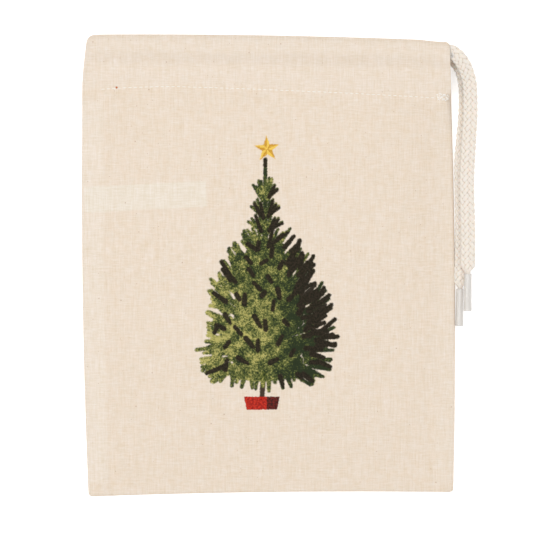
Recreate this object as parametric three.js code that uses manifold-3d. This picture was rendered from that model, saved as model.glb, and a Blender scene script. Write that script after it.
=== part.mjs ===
// A drawstring gift pouch, lying flat with its mouth towards +Y.
// One length of unbleached calico is folded at the bottom and seamed up both sides. Its top is turned down
// inside and stitched, which makes a channel all round the mouth. A flat braided cord runs round in that
// channel, and both of its tails leave by the slit at the top of the right side seam.
// Millimetres. +X is to the right, +Y to the mouth, +Z up. The origin is under the middle of the pouch.
import * as THREE from "three";
import { mergeVertices } from "three/addons/utils/BufferGeometryUtils.js";
import Module from "manifold-3d";

const wasm = await Module();
wasm.setup();

// ---- Driving dimensions ----
const halfWidth = 100.75; // from the middle to the widest point of a side
const halfHeight = 124.5; // from the middle to the highest point of the mouth edge, and to the lowest corner
const cloth = 0.6; // one layer of calico
const clearance = 0.3; // air between layers that lie on each other
const mouthGap = 4.6; // air in the closed mouth, between the two hems

const cordWidth = 7.5; // the flat braided cord
const cordThick = 3.6;
const foldRoomLeft = 0.95; // from the cord's edge to the cloth inside the mouth's fold, near the left end
const foldRoomRight = 0.45; // the same at the slit
const ridgeSlope = 6.25; // reach of the ridge that the cord pushes up, beyond the cord's edge

const stitchDepth = 28; // mouth edge to the line of stitching that closes the channel
const hemBelowStitch = 3.5; // from that line to the lower edge of the turned-down hem
const turnRoom = 20; // length at the left end of the channel that the hems leave free for the cord's turn

const seamWidth = 10; // width of the seam allowances inside the two sides
const seamInset = 0.8; // from the side's edge to the seam allowance
const threadDiameter = 0.3;
const threadLift = 0.12; // air under a thread

const labelLength = 62;
const labelWidth = 14.5;
const labelThick = 0.3;
const labelY = 38; // middle of the label where it leaves the seam
const labelTilt = THREE.MathUtils.degToRad(3);

const tackLength = 9; // the dense stitching at the foot of the slit
const tackWidth = 2.4;
const tackThick = 0.5;

const agletDiameter = 4;
const agletWall = 0.3;
const agletLength = 20;
const squeezeLength = 7; // length over which a tail narrows to go into its aglet
const cordSides = 10;

// The pouch's four edges are shallow parabolas: each is pulled in by its drop, away from its fullest point.
const leftDrop = 2.1;
const leftFullestY = 40;
const rightDrop = 3.7;
const rightFullestY = -36;
const topDrop = 3.4;
const topFullestX = -70;
const bottomDrop = 2.7;
const bottomFullestX = 50;
const topCorner = 5; // corner radius at the top left
const smallCorner = 2; // corner radius at the other corners

// ---- Heights that follow from the layers ----
const inner = cloth + clearance; // top of the back panel, with its clearance
const ridge = cordThick + 1.5 * clearance; // height that the cord gives its channel
const backHemTop = inner + ridge + cloth;
const frontBase = backHemTop + mouthGap; // underside of the front hem
const frontChannel = frontBase + inner; // floor of the front channel
const backCordZ = inner + cordThick / 2;
const frontCordZ = frontChannel + cordThick / 2;
const seamTop = inner + 2 * cloth;
const labelBase = seamTop + threadLift + threadDiameter + threadLift;
const sideRise = labelBase + labelThick + clearance; // the front's underside over the side seams
const hemDepth = stitchDepth + hemBelowStitch;
const lowerTailZ = Math.max(cordThick, agletDiameter) / 2 + 0.1; // the tails' middles where they lie flat
const upperTailZ = lowerTailZ + Math.max(cordThick, agletDiameter) + clearance;

// ---- The outline ----
const smooth = (t) => {
  const s = THREE.MathUtils.clamp(t, 0, 1);
  return s * s * (3 - 2 * s);
};
const topEdge = (x) => halfHeight - topDrop * ((x - topFullestX) / (halfWidth - topFullestX)) ** 2;
const bottomEdge = (x) =>
  -(halfHeight - bottomDrop) - bottomDrop * ((x - bottomFullestX) / (halfWidth + bottomFullestX)) ** 2;
// How far a corner of radius r draws a side in, at a distance d from the corner's end of it.
const rounding = (r, d) => (d >= r ? 0 : r - Math.sqrt(r * r - (r - Math.max(d, 0)) ** 2));
const leftEdge = (y) => -halfWidth + leftDrop * ((y - leftFullestY) / halfHeight) ** 2;
const rightEdge = (y) => halfWidth - rightDrop * ((y - rightFullestY) / (halfHeight - rightFullestY)) ** 2;
const sideAt = (y, right) => {
  const x = right ? rightEdge(y) : leftEdge(y);
  const fromTop = topEdge(x) - y;
  const fromBottom = y - bottomEdge(x);
  const inward = rounding(right ? smallCorner : topCorner, fromTop) + rounding(smallCorner, fromBottom);
  return right ? x - inward : x + inward;
};

// ---- The cord's straight run inside the channel ----
const cordDepthLeft = cordWidth / 2 + cloth + foldRoomLeft;
const cordDepthRight = cordWidth / 2 + cloth + foldRoomRight;
const ridgeHalf = cordWidth / 2 + ridgeSlope;
const runLeftX = -halfWidth + turnRoom / 2;
const runRightX = rightEdge(topEdge(halfWidth) - cordDepthRight);
const runLeftY = topEdge(runLeftX) - cordDepthLeft;
const runRightY = topEdge(runRightX) - cordDepthRight;
const runSlope = (runRightY - runLeftY) / (runRightX - runLeftX);
const runY = (x) => runLeftY + runSlope * (x - runLeftX);
const exitX = runRightX + 0.5; // the runs end just outside the slit
const pivotX = exitX + clearance + cordWidth / 2; // both tails turn about this point
const pivotY = runY(pivotX);
const ridgeTop = cordWidth / 6; // half the width of the ridge's level top
const ridgeAt = (x, y) => {
  const d = Math.max(Math.abs(y - runY(x)) - ridgeTop, 0) / (ridgeHalf - ridgeTop);
  return d < 1 ? (ridge / 2) * (1 + Math.cos(Math.PI * d)) : 0;
};

// ---- The front's underside: up over the side seams, full over the middle, level at the channel ----
const fullness = frontBase - inner;
const underFront = (x, y) => {
  const up = THREE.MathUtils.clamp((y + halfHeight) / (2 * halfHeight), 0, 1);
  const rise = 1 - (1 - up) ** 4;
  const level = smooth((y - (halfHeight - 2 * hemDepth)) / hemDepth);
  const across = 1 - Math.min(Math.abs(x) / halfWidth, 1) ** 4;
  const crown = fullness * rise * THREE.MathUtils.lerp(across, 1, level);
  const seamStart = halfWidth - seamWidth - 6;
  const seam = (sideRise - inner) * smooth((Math.abs(x) - seamStart) / 4);
  return inner + (crown ** 4 + seam ** 4) ** 0.25;
};
const hemEdge = (x) => topEdge(x) - hemDepth;
const stitchLine = (x) => topEdge(x) - stitchDepth;
// Underside of the front panel, which stands off the hem where there is one, and off the cord.
const underPanel = (x, y) => {
  const overHem = inner * smooth((y - hemEdge(x) + 5) / 4);
  return underFront(x, y) + overHem + ridgeAt(x, y);
};

// ---- Meshes from grids ----
// Closed sheet between two grids of points, grid[row][column], with a rim round all four sides.
function sheetBetween(low, high) {
  const rows = low.length;
  const columns = low[0].length;
  const position = [];
  const index = [];
  for (const grid of [low, high]) for (const row of grid) for (const p of row) position.push(...p);
  const at = (layer, i, j) => (layer * rows + i) * columns + j;
  const quad = (a, b, c, d) => index.push(a, b, c, a, c, d);
  for (let i = 0; i + 1 < rows; i++)
    for (let j = 0; j + 1 < columns; j++) {
      quad(at(0, i, j), at(0, i + 1, j), at(0, i + 1, j + 1), at(0, i, j + 1));
      quad(at(1, i, j), at(1, i, j + 1), at(1, i + 1, j + 1), at(1, i + 1, j));
    }
  for (let i = 0; i + 1 < rows; i++) {
    quad(at(0, i + 1, 0), at(0, i, 0), at(1, i, 0), at(1, i + 1, 0));
    const j = columns - 1;
    quad(at(0, i, j), at(0, i + 1, j), at(1, i + 1, j), at(1, i, j));
  }
  for (let j = 0; j + 1 < columns; j++) {
    quad(at(0, 0, j), at(0, 0, j + 1), at(1, 0, j + 1), at(1, 0, j));
    const i = rows - 1;
    quad(at(0, i, j + 1), at(0, i, j), at(1, i, j), at(1, i, j + 1));
  }
  const geometry = new THREE.BufferGeometry();
  geometry.setAttribute("position", new THREE.Float32BufferAttribute(position, 3));
  geometry.setIndex(index);
  return volumeOf(geometry) < 0 ? turnedRound(geometry) : geometry;
}

function volumeOf(geometry) {
  const p = geometry.getAttribute("position");
  const a = new THREE.Vector3();
  const b = new THREE.Vector3();
  const c = new THREE.Vector3();
  let sum = 0;
  for (let i = 0; i < geometry.index.count; i += 3) {
    a.fromBufferAttribute(p, geometry.index.getX(i));
    b.fromBufferAttribute(p, geometry.index.getX(i + 1));
    c.fromBufferAttribute(p, geometry.index.getX(i + 2));
    sum += a.dot(b.cross(c)) / 6;
  }
  return sum;
}

function turnedRound(geometry) {
  const order = Array.from(geometry.index.array);
  for (let i = 0; i < order.length; i += 3) [order[i + 1], order[i + 2]] = [order[i + 2], order[i + 1]];
  geometry.setIndex(order);
  return geometry;
}

// A path of [y, z] points, moved sideways by the thickness, to the left of its direction of travel.
function offsetPath(path, thickness) {
  return path.map((p, i) => {
    const before = path[Math.max(i - 1, 0)];
    const after = path[Math.min(i + 1, path.length - 1)];
    const a = new THREE.Vector2(p[0] - before[0], p[1] - before[1]);
    const b = new THREE.Vector2(after[0] - p[0], after[1] - p[1]);
    if (i === 0) a.copy(b);
    if (i === path.length - 1) b.copy(a);
    a.normalize();
    b.normalize();
    const normal = new THREE.Vector2(-a.y - b.y, a.x + b.x).normalize();
    const stretch = 1 / Math.max(normal.dot(new THREE.Vector2(-a.y, a.x)), 0.6);
    return [p[0] + normal.x * thickness * stretch, p[1] + normal.y * thickness * stretch];
  });
}

// Cloth whose section at each station across the pouch is a path of [y, z] points, thickened to its left.
function clothAcross(stations, insetLeft, insetRight, pathAt, thickness = cloth) {
  const low = [];
  const high = [];
  for (let k = 0; k <= stations; k++) {
    const u = k / stations;
    const guess = THREE.MathUtils.lerp(-halfWidth, halfWidth, u);
    const path = pathAt(guess);
    const place = ([y, z]) => {
      const x0 = sideAt(y, false) + insetLeft(y);
      const x1 = sideAt(y, true) - insetRight(y);
      return [THREE.MathUtils.lerp(x0, x1, u), y, z];
    };
    low.push(path.map(place));
    high.push(offsetPath(path, thickness).map(place));
  }
  return sheetBetween(low, high);
}

// Cloth over a patch of the plan, between two height functions of (x, y).
function patch(rows, columns, planAt, lowAt, thickness) {
  const grid = (lift) =>
    Array.from({ length: rows + 1 }, (_, i) =>
      Array.from({ length: columns + 1 }, (_, j) => {
        const [x, y] = planAt(i / rows, j / columns);
        return [x, y, lowAt(x, y) + lift];
      }),
    );
  return sheetBetween(grid(0), grid(thickness));
}

function solid(geometry) {
  const plain = geometry.clone();
  plain.deleteAttribute("normal");
  plain.deleteAttribute("uv");
  const merged = mergeVertices(plain, 1e-4);
  return new wasm.Manifold(
    new wasm.Mesh({
      numProp: 3,
      vertProperties: merged.getAttribute("position").array,
      triVerts: new Uint32Array(merged.index.array),
    }),
  );
}

function geometryOf(manifold) {
  const mesh = manifold.getMesh();
  const geometry = new THREE.BufferGeometry();
  geometry.setAttribute("position", new THREE.BufferAttribute(new Float32Array(mesh.vertProperties), 3));
  geometry.setIndex(new THREE.BufferAttribute(new Uint32Array(mesh.triVerts), 1));
  return geometry;
}

// ---- Materials ----
const calico = new THREE.MeshStandardMaterial({ color: 0xece0cb, roughness: 0.95, metalness: 0 });
const cotton = new THREE.MeshStandardMaterial({ color: 0xeee6db, roughness: 0.9, metalness: 0 });
const thread = new THREE.MeshStandardMaterial({ color: 0xf4efe6, roughness: 0.7, metalness: 0 });
const ribbon = new THREE.MeshStandardMaterial({ color: 0xf3ecdf, roughness: 0.6, metalness: 0 });
const film = new THREE.MeshStandardMaterial({ color: 0xdfd9d2, roughness: 0.15, metalness: 0 });

const pouch = new THREE.Group();
function add(name, geometry, material) {
  const mesh = new THREE.Mesh(geometry, material);
  mesh.name = name;
  pouch.add(mesh);
  return mesh;
}

// ---- Cloth panels ----
const noInset = () => 0;
const channelInset = (y) => (cloth + clearance) * smooth((y - (halfHeight - stitchDepth - 12)) / 8);
const evenly = (from, to, count) =>
  Array.from({ length: count + 1 }, (_, i) => THREE.MathUtils.lerp(from, to, i / count));

// The back lies flat. At its foot the cloth turns up round the fold, to meet the front.
function backPanel() {
  const plate = clothAcross(14, noInset, noInset, (x) => {
    const foot = evenly(bottomEdge(x), bottomEdge(x) + smallCorner, 3);
    const field = evenly(bottomEdge(x) + smallCorner, topEdge(x) - topCorner, 10).slice(1);
    const head = evenly(topEdge(x) - topCorner, topEdge(x), 4).slice(1);
    return [...foot, ...field, ...head].map((y) => [y, 0]);
  });
  const lip = patch(
    20,
    1,
    (i, j) => {
      const x = THREE.MathUtils.lerp(-1, 1, i) * (halfWidth - seamWidth);
      return [x, bottomEdge(x) + j * cloth];
    },
    () => cloth / 2,
    cloth + clearance,
  );
  return geometryOf(solid(plate).add(solid(lip)));
}

// The front starts inside the fold, rises over the pouch's fullness and the cord, and turns down at the mouth.
function frontPanel() {
  return clothAcross(20, channelInset, noInset, (x) => {
    const top = topEdge(x) - cloth;
    const start = bottomEdge(x) + inner;
    const crest = runY(x) - ridgeHalf;
    const ys = [
      ...evenly(start, start + 6, 3),
      ...evenly(start + 6, hemEdge(x) - 6, 10).slice(1),
      ...evenly(hemEdge(x) - 6, crest, 5).slice(1),
      ...evenly(crest, top, 8).slice(1),
    ];
    const upper = ys.map((y) => [y, underPanel(x, y)]);
    const crown = upper[upper.length - 1][1];
    return [...upper, [top, THREE.MathUtils.lerp(crown, frontChannel, 0.5)], [top, frontChannel]];
  });
}

// The turned-down top of the back: from the fold at the mouth, over the cord, to its edge below the stitching.
function backCasingHem() {
  return clothAcross(12, () => turnRoom, noInset, (x) => {
    const top = topEdge(x) - cloth;
    const ys = [...evenly(hemEdge(x), runY(x) - ridgeHalf, 4), ...evenly(runY(x) - ridgeHalf, top, 9).slice(1)];
    const over = ys.map((y) => [y, inner + ridgeAt(x, y)]);
    return [...over, [top, inner]];
  });
}

// The turned-down top of the front, which lies level under the front's cord.
function frontCasingHem() {
  return clothAcross(12, () => turnRoom, noInset, (x) =>
    evenly(hemEdge(x), topEdge(x) - cloth, 4).map((y) => [y, underFront(x, y)]),
  );
}

// Where the channel wraps round the left side: the cloth that the front and the back share there.
function casingLeftEnd() {
  const bottom = inner;
  const top = frontChannel + ridge / 2;
  return sheetBetween(
    ...[0, cloth].map((lift) =>
      evenly(0, 1, 6).map((t) => {
        const y = THREE.MathUtils.lerp(stitchLine(-halfWidth), topEdge(-halfWidth) - topCorner, t);
        return evenly(bottom, top, 6).map((z) => [leftEdge(y) + lift, y, z]);
      }),
    ),
  );
}

// A side seam's two layers, folded inside and overlocked together.
function seamAllowance(right) {
  const way = right ? -1 : 1;
  return patch(
    14,
    2,
    (i, j) => {
      const y = THREE.MathUtils.lerp(bottomEdge(way * -halfWidth) + inner + smallCorner, hemEdge(way * -halfWidth) - 1, i);
      return [sideAt(y, right) + way * (seamInset + seamWidth * j), y];
    },
    () => inner,
    2 * cloth,
  );
}

// ---- Threads ----
// A sewn thread as a thin bead along points that are worked out from one end to the other.
function threadAlong(count, pointAt) {
  const points = evenly(0, 1, count).map((t) => new THREE.Vector3(...pointAt(t)));
  const section = new THREE.Shape();
  section.absarc(0, 0, threadDiameter / 2, 0, 2 * Math.PI, false);
  return new THREE.ExtrudeGeometry(section, {
    curveSegments: 3,
    steps: count,
    extrudePath: new THREE.CatmullRomCurve3(points),
  });
}

const threadRadius = threadDiameter / 2;
const frontThread = () =>
  threadAlong(26, (t) => {
    const x = THREE.MathUtils.lerp(3 - halfWidth, rightEdge(stitchLine(halfWidth)) - tackLength - 3, t);
    const y = stitchLine(x);
    return [x, y, underPanel(x, y) + cloth + threadLift + threadRadius];
  });
const backThread = () =>
  threadAlong(16, (t) => {
    const x = THREE.MathUtils.lerp(turnRoom + 2 - halfWidth, rightEdge(stitchLine(halfWidth)) - tackLength - 3, t);
    return [x, stitchLine(x), inner + cloth + threadLift + threadRadius];
  });
const sideThread = (right, fromEdge) =>
  threadAlong(14, (t) => {
    const way = right ? -1 : 1;
    const y = THREE.MathUtils.lerp(bottomEdge(way * -halfWidth) + inner + smallCorner + 1, hemEdge(way * -halfWidth) - 3, t);
    return [sideAt(y, right) + way * fromEdge, y, seamTop + threadLift + threadRadius];
  });

// The dense back-and-forth stitching at the foot of the slit.
function tack(z) {
  const x = rightEdge(stitchLine(halfWidth)) - tackLength / 2 - 1.5;
  const shape = new THREE.Shape();
  shape.absarc(-(tackLength - tackWidth) / 2, 0, tackWidth / 2, Math.PI / 2, Math.PI * 1.5, false);
  shape.absarc((tackLength - tackWidth) / 2, 0, tackWidth / 2, -Math.PI / 2, Math.PI / 2, false);
  const geometry = new THREE.ExtrudeGeometry(shape, { depth: tackThick, curveSegments: 6, bevelEnabled: false });
  return geometry.translate(x, stitchLine(x), z);
}

// ---- The woven label, sewn into the left side seam ----
function label() {
  const startX = leftEdge(labelY) + 2.2;
  const down = (x) => 1 - smooth((x - startX - seamWidth) / 24);
  return patch(
    16,
    3,
    (i, j) => {
      const along = i * labelLength;
      const across = (j - 0.5) * labelWidth;
      return [
        startX + along * Math.cos(labelTilt) - across * Math.sin(labelTilt),
        labelY + along * Math.sin(labelTilt) + across * Math.cos(labelTilt),
      ];
    },
    (x) => THREE.MathUtils.lerp(inner, labelBase, down(x)),
    labelThick,
  );
}

// ---- The cord ----
// A flat oval tube along a smooth path through the points. sizeAt(t) gives its width and thickness at the
// share t of its length, and wide is the direction of its width, or null to keep the width level.
function flatCord(points, steps, wide = null, sizeAt = () => [cordWidth, cordThick]) {
  const path = new THREE.CatmullRomCurve3(points.map((p) => new THREE.Vector3(...p)));
  const up = new THREE.Vector3(0, 0, 1);
  const position = [];
  for (let i = 0; i <= steps; i++) {
    const t = i / steps;
    const centre = path.getPointAt(t);
    const along = path.getTangentAt(t);
    const side = wide ? wide.clone() : up.clone().cross(along).normalize();
    const top = along.clone().cross(side).normalize();
    const [width, thick] = sizeAt(t);
    for (let k = 0; k < cordSides; k++) {
      const a = (2 * Math.PI * k) / cordSides;
      const p = centre.clone().addScaledVector(side, (width / 2) * Math.cos(a));
      position.push(...p.addScaledVector(top, (thick / 2) * Math.sin(a)).toArray());
    }
  }
  return tubeOf(position, steps);
}

function tubeOf(position, steps) {
  const index = [];
  const at = (i, k) => i * cordSides + (k % cordSides);
  for (let i = 0; i < steps; i++)
    for (let k = 0; k < cordSides; k++)
      index.push(at(i, k), at(i, k + 1), at(i + 1, k + 1), at(i, k), at(i + 1, k + 1), at(i + 1, k));
  for (let k = 1; k + 1 < cordSides; k++) {
    index.push(at(0, 0), at(0, k + 1), at(0, k));
    index.push(at(steps, 0), at(steps, k), at(steps, k + 1));
  }
  const geometry = new THREE.BufferGeometry();
  geometry.setAttribute("position", new THREE.Float32BufferAttribute(position, 3));
  geometry.setIndex(index);
  return volumeOf(geometry) < 0 ? turnedRound(geometry) : geometry;
}

// The straight stretch inside the channel, from the slit to where the cord turns.
const turnRadius = (frontCordZ - backCordZ) / 2;
const turnX = leftEdge(runLeftY) + cloth + 3.5 * clearance + turnRadius + cordThick / 2;
const cordRun = (z) =>
  flatCord(
    [exitX, 40, 0, -40, turnX].map((x) => [x, runY(x), z]),
    8,
  );

// The turn at the left end, from the back's level up to the front's.
function cordTurn() {
  const x = turnX - 1.5 * clearance;
  const points = evenly(-90, 90, 8).map((degrees) => {
    const a = THREE.MathUtils.degToRad(degrees);
    return [x - Math.cos(a) * turnRadius, runY(x), backCordZ + (1 + Math.sin(a)) * turnRadius];
  });
  return flatCord(points, 12, new THREE.Vector3(0, 1, 0));
}

// Each tail's middle line, as steps from the point where it turns: out of the slit, round, and down beside
// the pouch. The third number is the share of the way down from the channel's level to the level it lies at.
const upperRoute = [
  [0, 0, 0],
  [1.9, -0.7, 0.06],
  [3.5, -2.4, 0.17],
  [4.7, -5, 0.32],
  [5.5, -8.4, 0.5],
  [6.1, -12.6, 0.68],
  [6.5, -17.4, 0.84],
  [6.75, -23.6, 0.95],
  [6.8, -30, 1],
  [6.75, -37, 1],
  [6.2, -46, 1],
  [5.7, -56, 1],
  [5, -69, 1],
  [5.2, -82, 1],
  [5.6, -95, 1],
  [5.6, -108, 1],
  [5.5, -120.3, 1],
];
const lowerRoute = [
  [0, 0, 0],
  [1.7, -0.8, 0.1],
  [3.1, -2.6, 0.3],
  [4, -5.4, 0.5],
  [4.5, -9, 0.75],
  [4.7, -14, 0.95],
  [4.7, -20, 1],
  [4.6, -27, 1],
  [4.4, -34, 1],
  [3.8, -42, 1],
  [3, -50, 1],
  [2.3, -59, 1],
  [2.2, -68, 1],
  [2.5, -80, 1],
  [2.8, -95, 1],
  [2.85, -114, 1],
  [2.8, -128.4, 1],
];
const routed = (route, from, to) =>
  route.map(([dx, dy, down]) => [pivotX + dx, pivotY + dy, THREE.MathUtils.lerp(from, to, down)]);
const upperPath = routed(upperRoute, frontCordZ, upperTailZ);
const lowerPath = routed(lowerRoute, backCordZ, lowerTailZ);
const coreRadius = agletDiameter / 2 - agletWall - clearance;

// A point further along a tail's last direction, and that direction.
function beyond(path, distance) {
  const end = new THREE.Vector3(...path[path.length - 1]);
  const way = end.clone().sub(new THREE.Vector3(...path[path.length - 2])).normalize();
  return [end.addScaledVector(way, distance), way];
}

// A tail starts with a round end, so that it can turn against the run, and is squeezed thin for its aglet.
function cordTail(path) {
  const inside = agletLength - 0.5;
  const squeezed = [0.5, inside / 2, inside].map((d) => beyond(path, d)[0].toArray());
  const full = new THREE.CatmullRomCurve3([...path, ...squeezed].map((p) => new THREE.Vector3(...p)));
  const length = full.getLength();
  const tube = flatCord([...path, ...squeezed], 44, null, (t) => {
    const squeeze = smooth((t * length - (length - inside - squeezeLength)) / squeezeLength);
    return [cordWidth, cordThick].map((size) => THREE.MathUtils.lerp(size, 2 * coreRadius, squeeze));
  });
  const disc = new THREE.CylinderGeometry(cordWidth / 2, cordWidth / 2, cordThick * 0.9, 24)
    .rotateX(Math.PI / 2)
    .translate(...path[0]);
  return geometryOf(solid(tube).add(solid(disc)));
}

// The clear sleeve on a tail's end: a ring turned about the tail's last direction.
function aglet(path) {
  const outer = agletDiameter / 2;
  const bore = outer - agletWall;
  const ring = [
    [bore, 0],
    [outer, 0],
    [outer, agletLength],
    [bore, agletLength],
    [bore, 0],
  ].map(([r, y]) => new THREE.Vector2(r, y));
  const [start, way] = beyond(path, clearance);
  const turn = new THREE.Quaternion().setFromUnitVectors(new THREE.Vector3(0, 1, 0), way);
  return new THREE.LatheGeometry(ring, 20).applyQuaternion(turn).translate(...start.toArray());
}

// ---- The pouch ----
add("back_panel", backPanel(), calico);
add("front_panel", frontPanel(), calico);
add("back_casing_hem", backCasingHem(), calico);
add("front_casing_hem", frontCasingHem(), calico);
add("casing_left_end", casingLeftEnd(), calico);
add("left_seam_allowance", seamAllowance(false), calico);
add("right_seam_allowance", seamAllowance(true), calico);
add("front_casing_thread", frontThread(), thread);
add("back_casing_thread", backThread(), thread);
for (const [side, right] of [
  ["left", false],
  ["right", true],
]) {
  add(`${side}_seam_thread`, sideThread(right, seamInset + 0.4), thread);
  add(`${side}_overlock_thread`, sideThread(right, seamInset + seamWidth - 1), thread);
}
const tackX = rightEdge(stitchLine(halfWidth)) - tackLength / 2;
const tackY = stitchLine(tackX);
add("front_bar_tack", tack(underPanel(tackX, tackY) + cloth + threadLift), thread);
add("back_bar_tack", tack(inner + cloth + threadLift), thread);
add("woven_label", label(), ribbon);
add("cord_front_run", cordRun(frontCordZ), cotton);
add("cord_back_run", cordRun(backCordZ), cotton);
add("cord_left_turn", cordTurn(), cotton);
add("cord_upper_tail", cordTail(upperPath), cotton);
add("cord_lower_tail", cordTail(lowerPath), cotton);
add("upper_aglet", aglet(upperPath), film);
add("lower_aglet", aglet(lowerPath), film);

export default pouch;
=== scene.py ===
"""Looks for a calico drawstring pouch that lies flat on its back, with its mouth towards +Y.

Shapes are worked out in millimetres and turned into metres when a mesh is made. Each piece of cloth is a
path of rows that runs up the panel, round the fold at the mouth and down the hem inside, carried across
the pouch in columns. Patterns follow the cloth through its own UV map and point attributes.
"""

import bpy
import numpy as np
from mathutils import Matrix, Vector


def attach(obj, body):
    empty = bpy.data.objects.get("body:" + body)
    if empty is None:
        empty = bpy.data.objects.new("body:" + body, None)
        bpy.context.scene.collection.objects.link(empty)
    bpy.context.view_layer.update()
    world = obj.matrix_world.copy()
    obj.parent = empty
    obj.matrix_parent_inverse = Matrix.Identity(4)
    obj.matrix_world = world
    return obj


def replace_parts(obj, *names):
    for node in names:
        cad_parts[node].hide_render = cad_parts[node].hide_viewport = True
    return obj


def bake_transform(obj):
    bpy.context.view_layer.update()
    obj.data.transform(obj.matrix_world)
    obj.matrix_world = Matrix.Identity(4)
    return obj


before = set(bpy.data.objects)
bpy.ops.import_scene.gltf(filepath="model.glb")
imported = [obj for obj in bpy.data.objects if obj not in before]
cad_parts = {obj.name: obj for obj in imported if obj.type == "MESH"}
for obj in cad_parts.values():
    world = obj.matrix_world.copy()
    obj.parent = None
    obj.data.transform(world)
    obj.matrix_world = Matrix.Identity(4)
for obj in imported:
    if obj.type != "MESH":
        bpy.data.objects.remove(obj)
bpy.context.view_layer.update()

MM = 0.001
UP = np.array([0.0, 0.0, 1.0])
TAG_SIZE = (65.0, 14.5)
TAG_TURN = np.radians(2.8)
UV_MM = 100.0  # millimetres of cloth to one unit of its UV map

# ---- The pouch's sizes, as its solids have them ----
HALF_WIDTH = 100.75
HALF_HEIGHT = 124.5
CLOTH = 0.6
CLEARANCE = 0.3
MOUTH_GAP = 4.6
CORD_WIDTH = 7.5
CORD_THICK = 3.6
HEM_DEPTH = 31.5
SEAM_WIDTH = 10.0
INNER = CLOTH + CLEARANCE
RIDGE = CORD_THICK + 1.5 * CLEARANCE
RIDGE_REACH = 10.5  # from the cord's level top down to the flat cloth
BACK_HEM_TOP = INNER + RIDGE + CLOTH
FRONT_BASE = BACK_HEM_TOP + MOUTH_GAP
FRONT_CHANNEL = FRONT_BASE + INNER
BACK_CORD_Z = INNER + CORD_THICK / 2
FRONT_CORD_Z = FRONT_CHANNEL + CORD_THICK / 2
SIDE_RISE = 3.24
MOUTH_MIDDLE = (BACK_HEM_TOP + FRONT_BASE) / 2
SEAM_MIDDLE = 1.9  # height of the side seams' edge over the table
FOLD_REACH = 2.2  # how far the fold at the mouth bulges out
FOLD_ARC = 3.4 * np.pi  # length of cloth round that fold
FOLD_ROWS = 12
HEM_ROWS = 22
WALL = CLOTH - 0.1  # visible thickness, a little under the solid's so that layers stay apart
RING_X = -86.0  # where the two hems join inside the left end of the channel

# ---- The cord ----
TURN_RADIUS = (FRONT_CORD_Z - BACK_CORD_Z) / 2
PIVOT = (101.97, 116.37)  # about which both tails swing
LOWER_TAIL_Z = 2.1  # heights of the two tails' middles
UPPER_TAIL_Z = 6.4
AGLET_LENGTH = 20.0


def smooth(t):
    """The S-shaped step 3t^2 - 2t^3 between 0 and 1."""
    s = np.clip(t, 0.0, 1.0)
    return s * s * (3.0 - 2.0 * s)


def lerp(a, b, t):
    return a + (b - a) * t


def roll(t):
    """A quarter circle that rises from 0 at t = 0 to 1 at t = 1: the root of 1 - (1 - t)^2."""
    return np.sqrt(np.clip(1.0 - (1.0 - np.clip(t, 0.0, 1.0)) ** 2, 0.0, 1.0))


def joined(*parts):
    """Arrays side by side along a new last axis, each one filled out to their common shape."""
    return np.stack(np.broadcast_arrays(*parts), -1)


def normed(vectors):
    return vectors / np.linalg.norm(vectors, axis=-1, keepdims=True)


def run_lengths(points):
    """The length of the line through the points, up to each one of them."""
    return np.append(0.0, np.cumsum(np.linalg.norm(np.diff(points, axis=0), axis=1)))


# ---- Outline: four shallow parabolas with rounded corners ----
def top_edge(x):
    return HALF_HEIGHT - 3.4 * ((x + 70.0) / (HALF_WIDTH + 70.0)) ** 2 - 0.7 * smooth((x - 84.0) / 14.0)


def bottom_edge(x):
    return -(HALF_HEIGHT - 2.7) - 2.7 * ((x - 50.0) / (HALF_WIDTH + 50.0)) ** 2


def left_edge(y):
    return -HALF_WIDTH + 2.1 * ((y - 40.0) / HALF_HEIGHT) ** 2


def right_edge(y):
    return HALF_WIDTH - 3.7 * ((y + 36.0) / (HALF_HEIGHT + 36.0)) ** 2


def rounding(radius, d):
    """How far a corner of this radius draws a side in, at the distance d from the corner's end."""
    inside = np.clip(radius - d, 0.0, radius)
    return radius - np.sqrt(radius**2 - inside**2)


def side_at(y, side):
    """The outline's x at the height y, on the left (side -1) or the right (side 1)."""
    x = np.where(side < 0, left_edge(y), right_edge(y))
    drawn = rounding(3.6 if side < 0 else 2.6, top_edge(x) - y) + rounding(2.0, y - bottom_edge(x))
    if side < 0:
        drawn = drawn + 2.1 * np.clip((y - 97.0) / 26.0, 0.0, 1.0) ** 1.5
    return x - side * drawn


def cord_y(x):
    """The cord's middle line inside the channel: straight, with a dip where it leaves through the slit."""
    left_x, left_y = -90.75, top_edge(-90.75) - 5.3
    line = left_y + (PIVOT[1] - left_y) * (x - left_x) / (PIVOT[0] - left_x)
    return line - 2.0 * smooth((x - 84.0) / 16.0)


def stitch_y(x):
    """The line of stitches under the channel: level at x = -50, and falling away on both sides of it."""
    t = x + 50.0
    return 96.5 - np.where(t > 0.0, 0.028 * t + 0.00011 * t**2, 0.0009 * t**2)


# ---- Heights ----
def cord_ridge(x, y):
    """A raised cosine over the cord, with a level top."""
    d = (np.abs(y - cord_y(x)) - 1.25) / RIDGE_REACH
    return 0.5 * RIDGE * (1.0 + np.cos(np.pi * np.clip(d, 0.0, 1.0)))


def under_front(x, y):
    """The front's underside: a low dome that levels out at the channel, and stands on the side seams."""
    up = np.clip((y + HALF_HEIGHT) / (2.0 * HALF_HEIGHT), 0.0, 1.0)
    level = smooth((y - (HALF_HEIGHT - 2.0 * HEM_DEPTH)) / HEM_DEPTH)
    across = 1.0 - np.minimum(np.abs(x) / HALF_WIDTH, 1.0) ** 4
    crown = (FRONT_BASE - INNER) * (1.0 - (1.0 - up) ** 4) * lerp(across, 1.0, level)
    seam = (SIDE_RISE - INNER) * smooth((np.abs(x) - (HALF_WIDTH - SEAM_WIDTH - 6.0)) / 4.0)
    return INNER + (crown**4 + seam**4) ** 0.25


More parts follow.
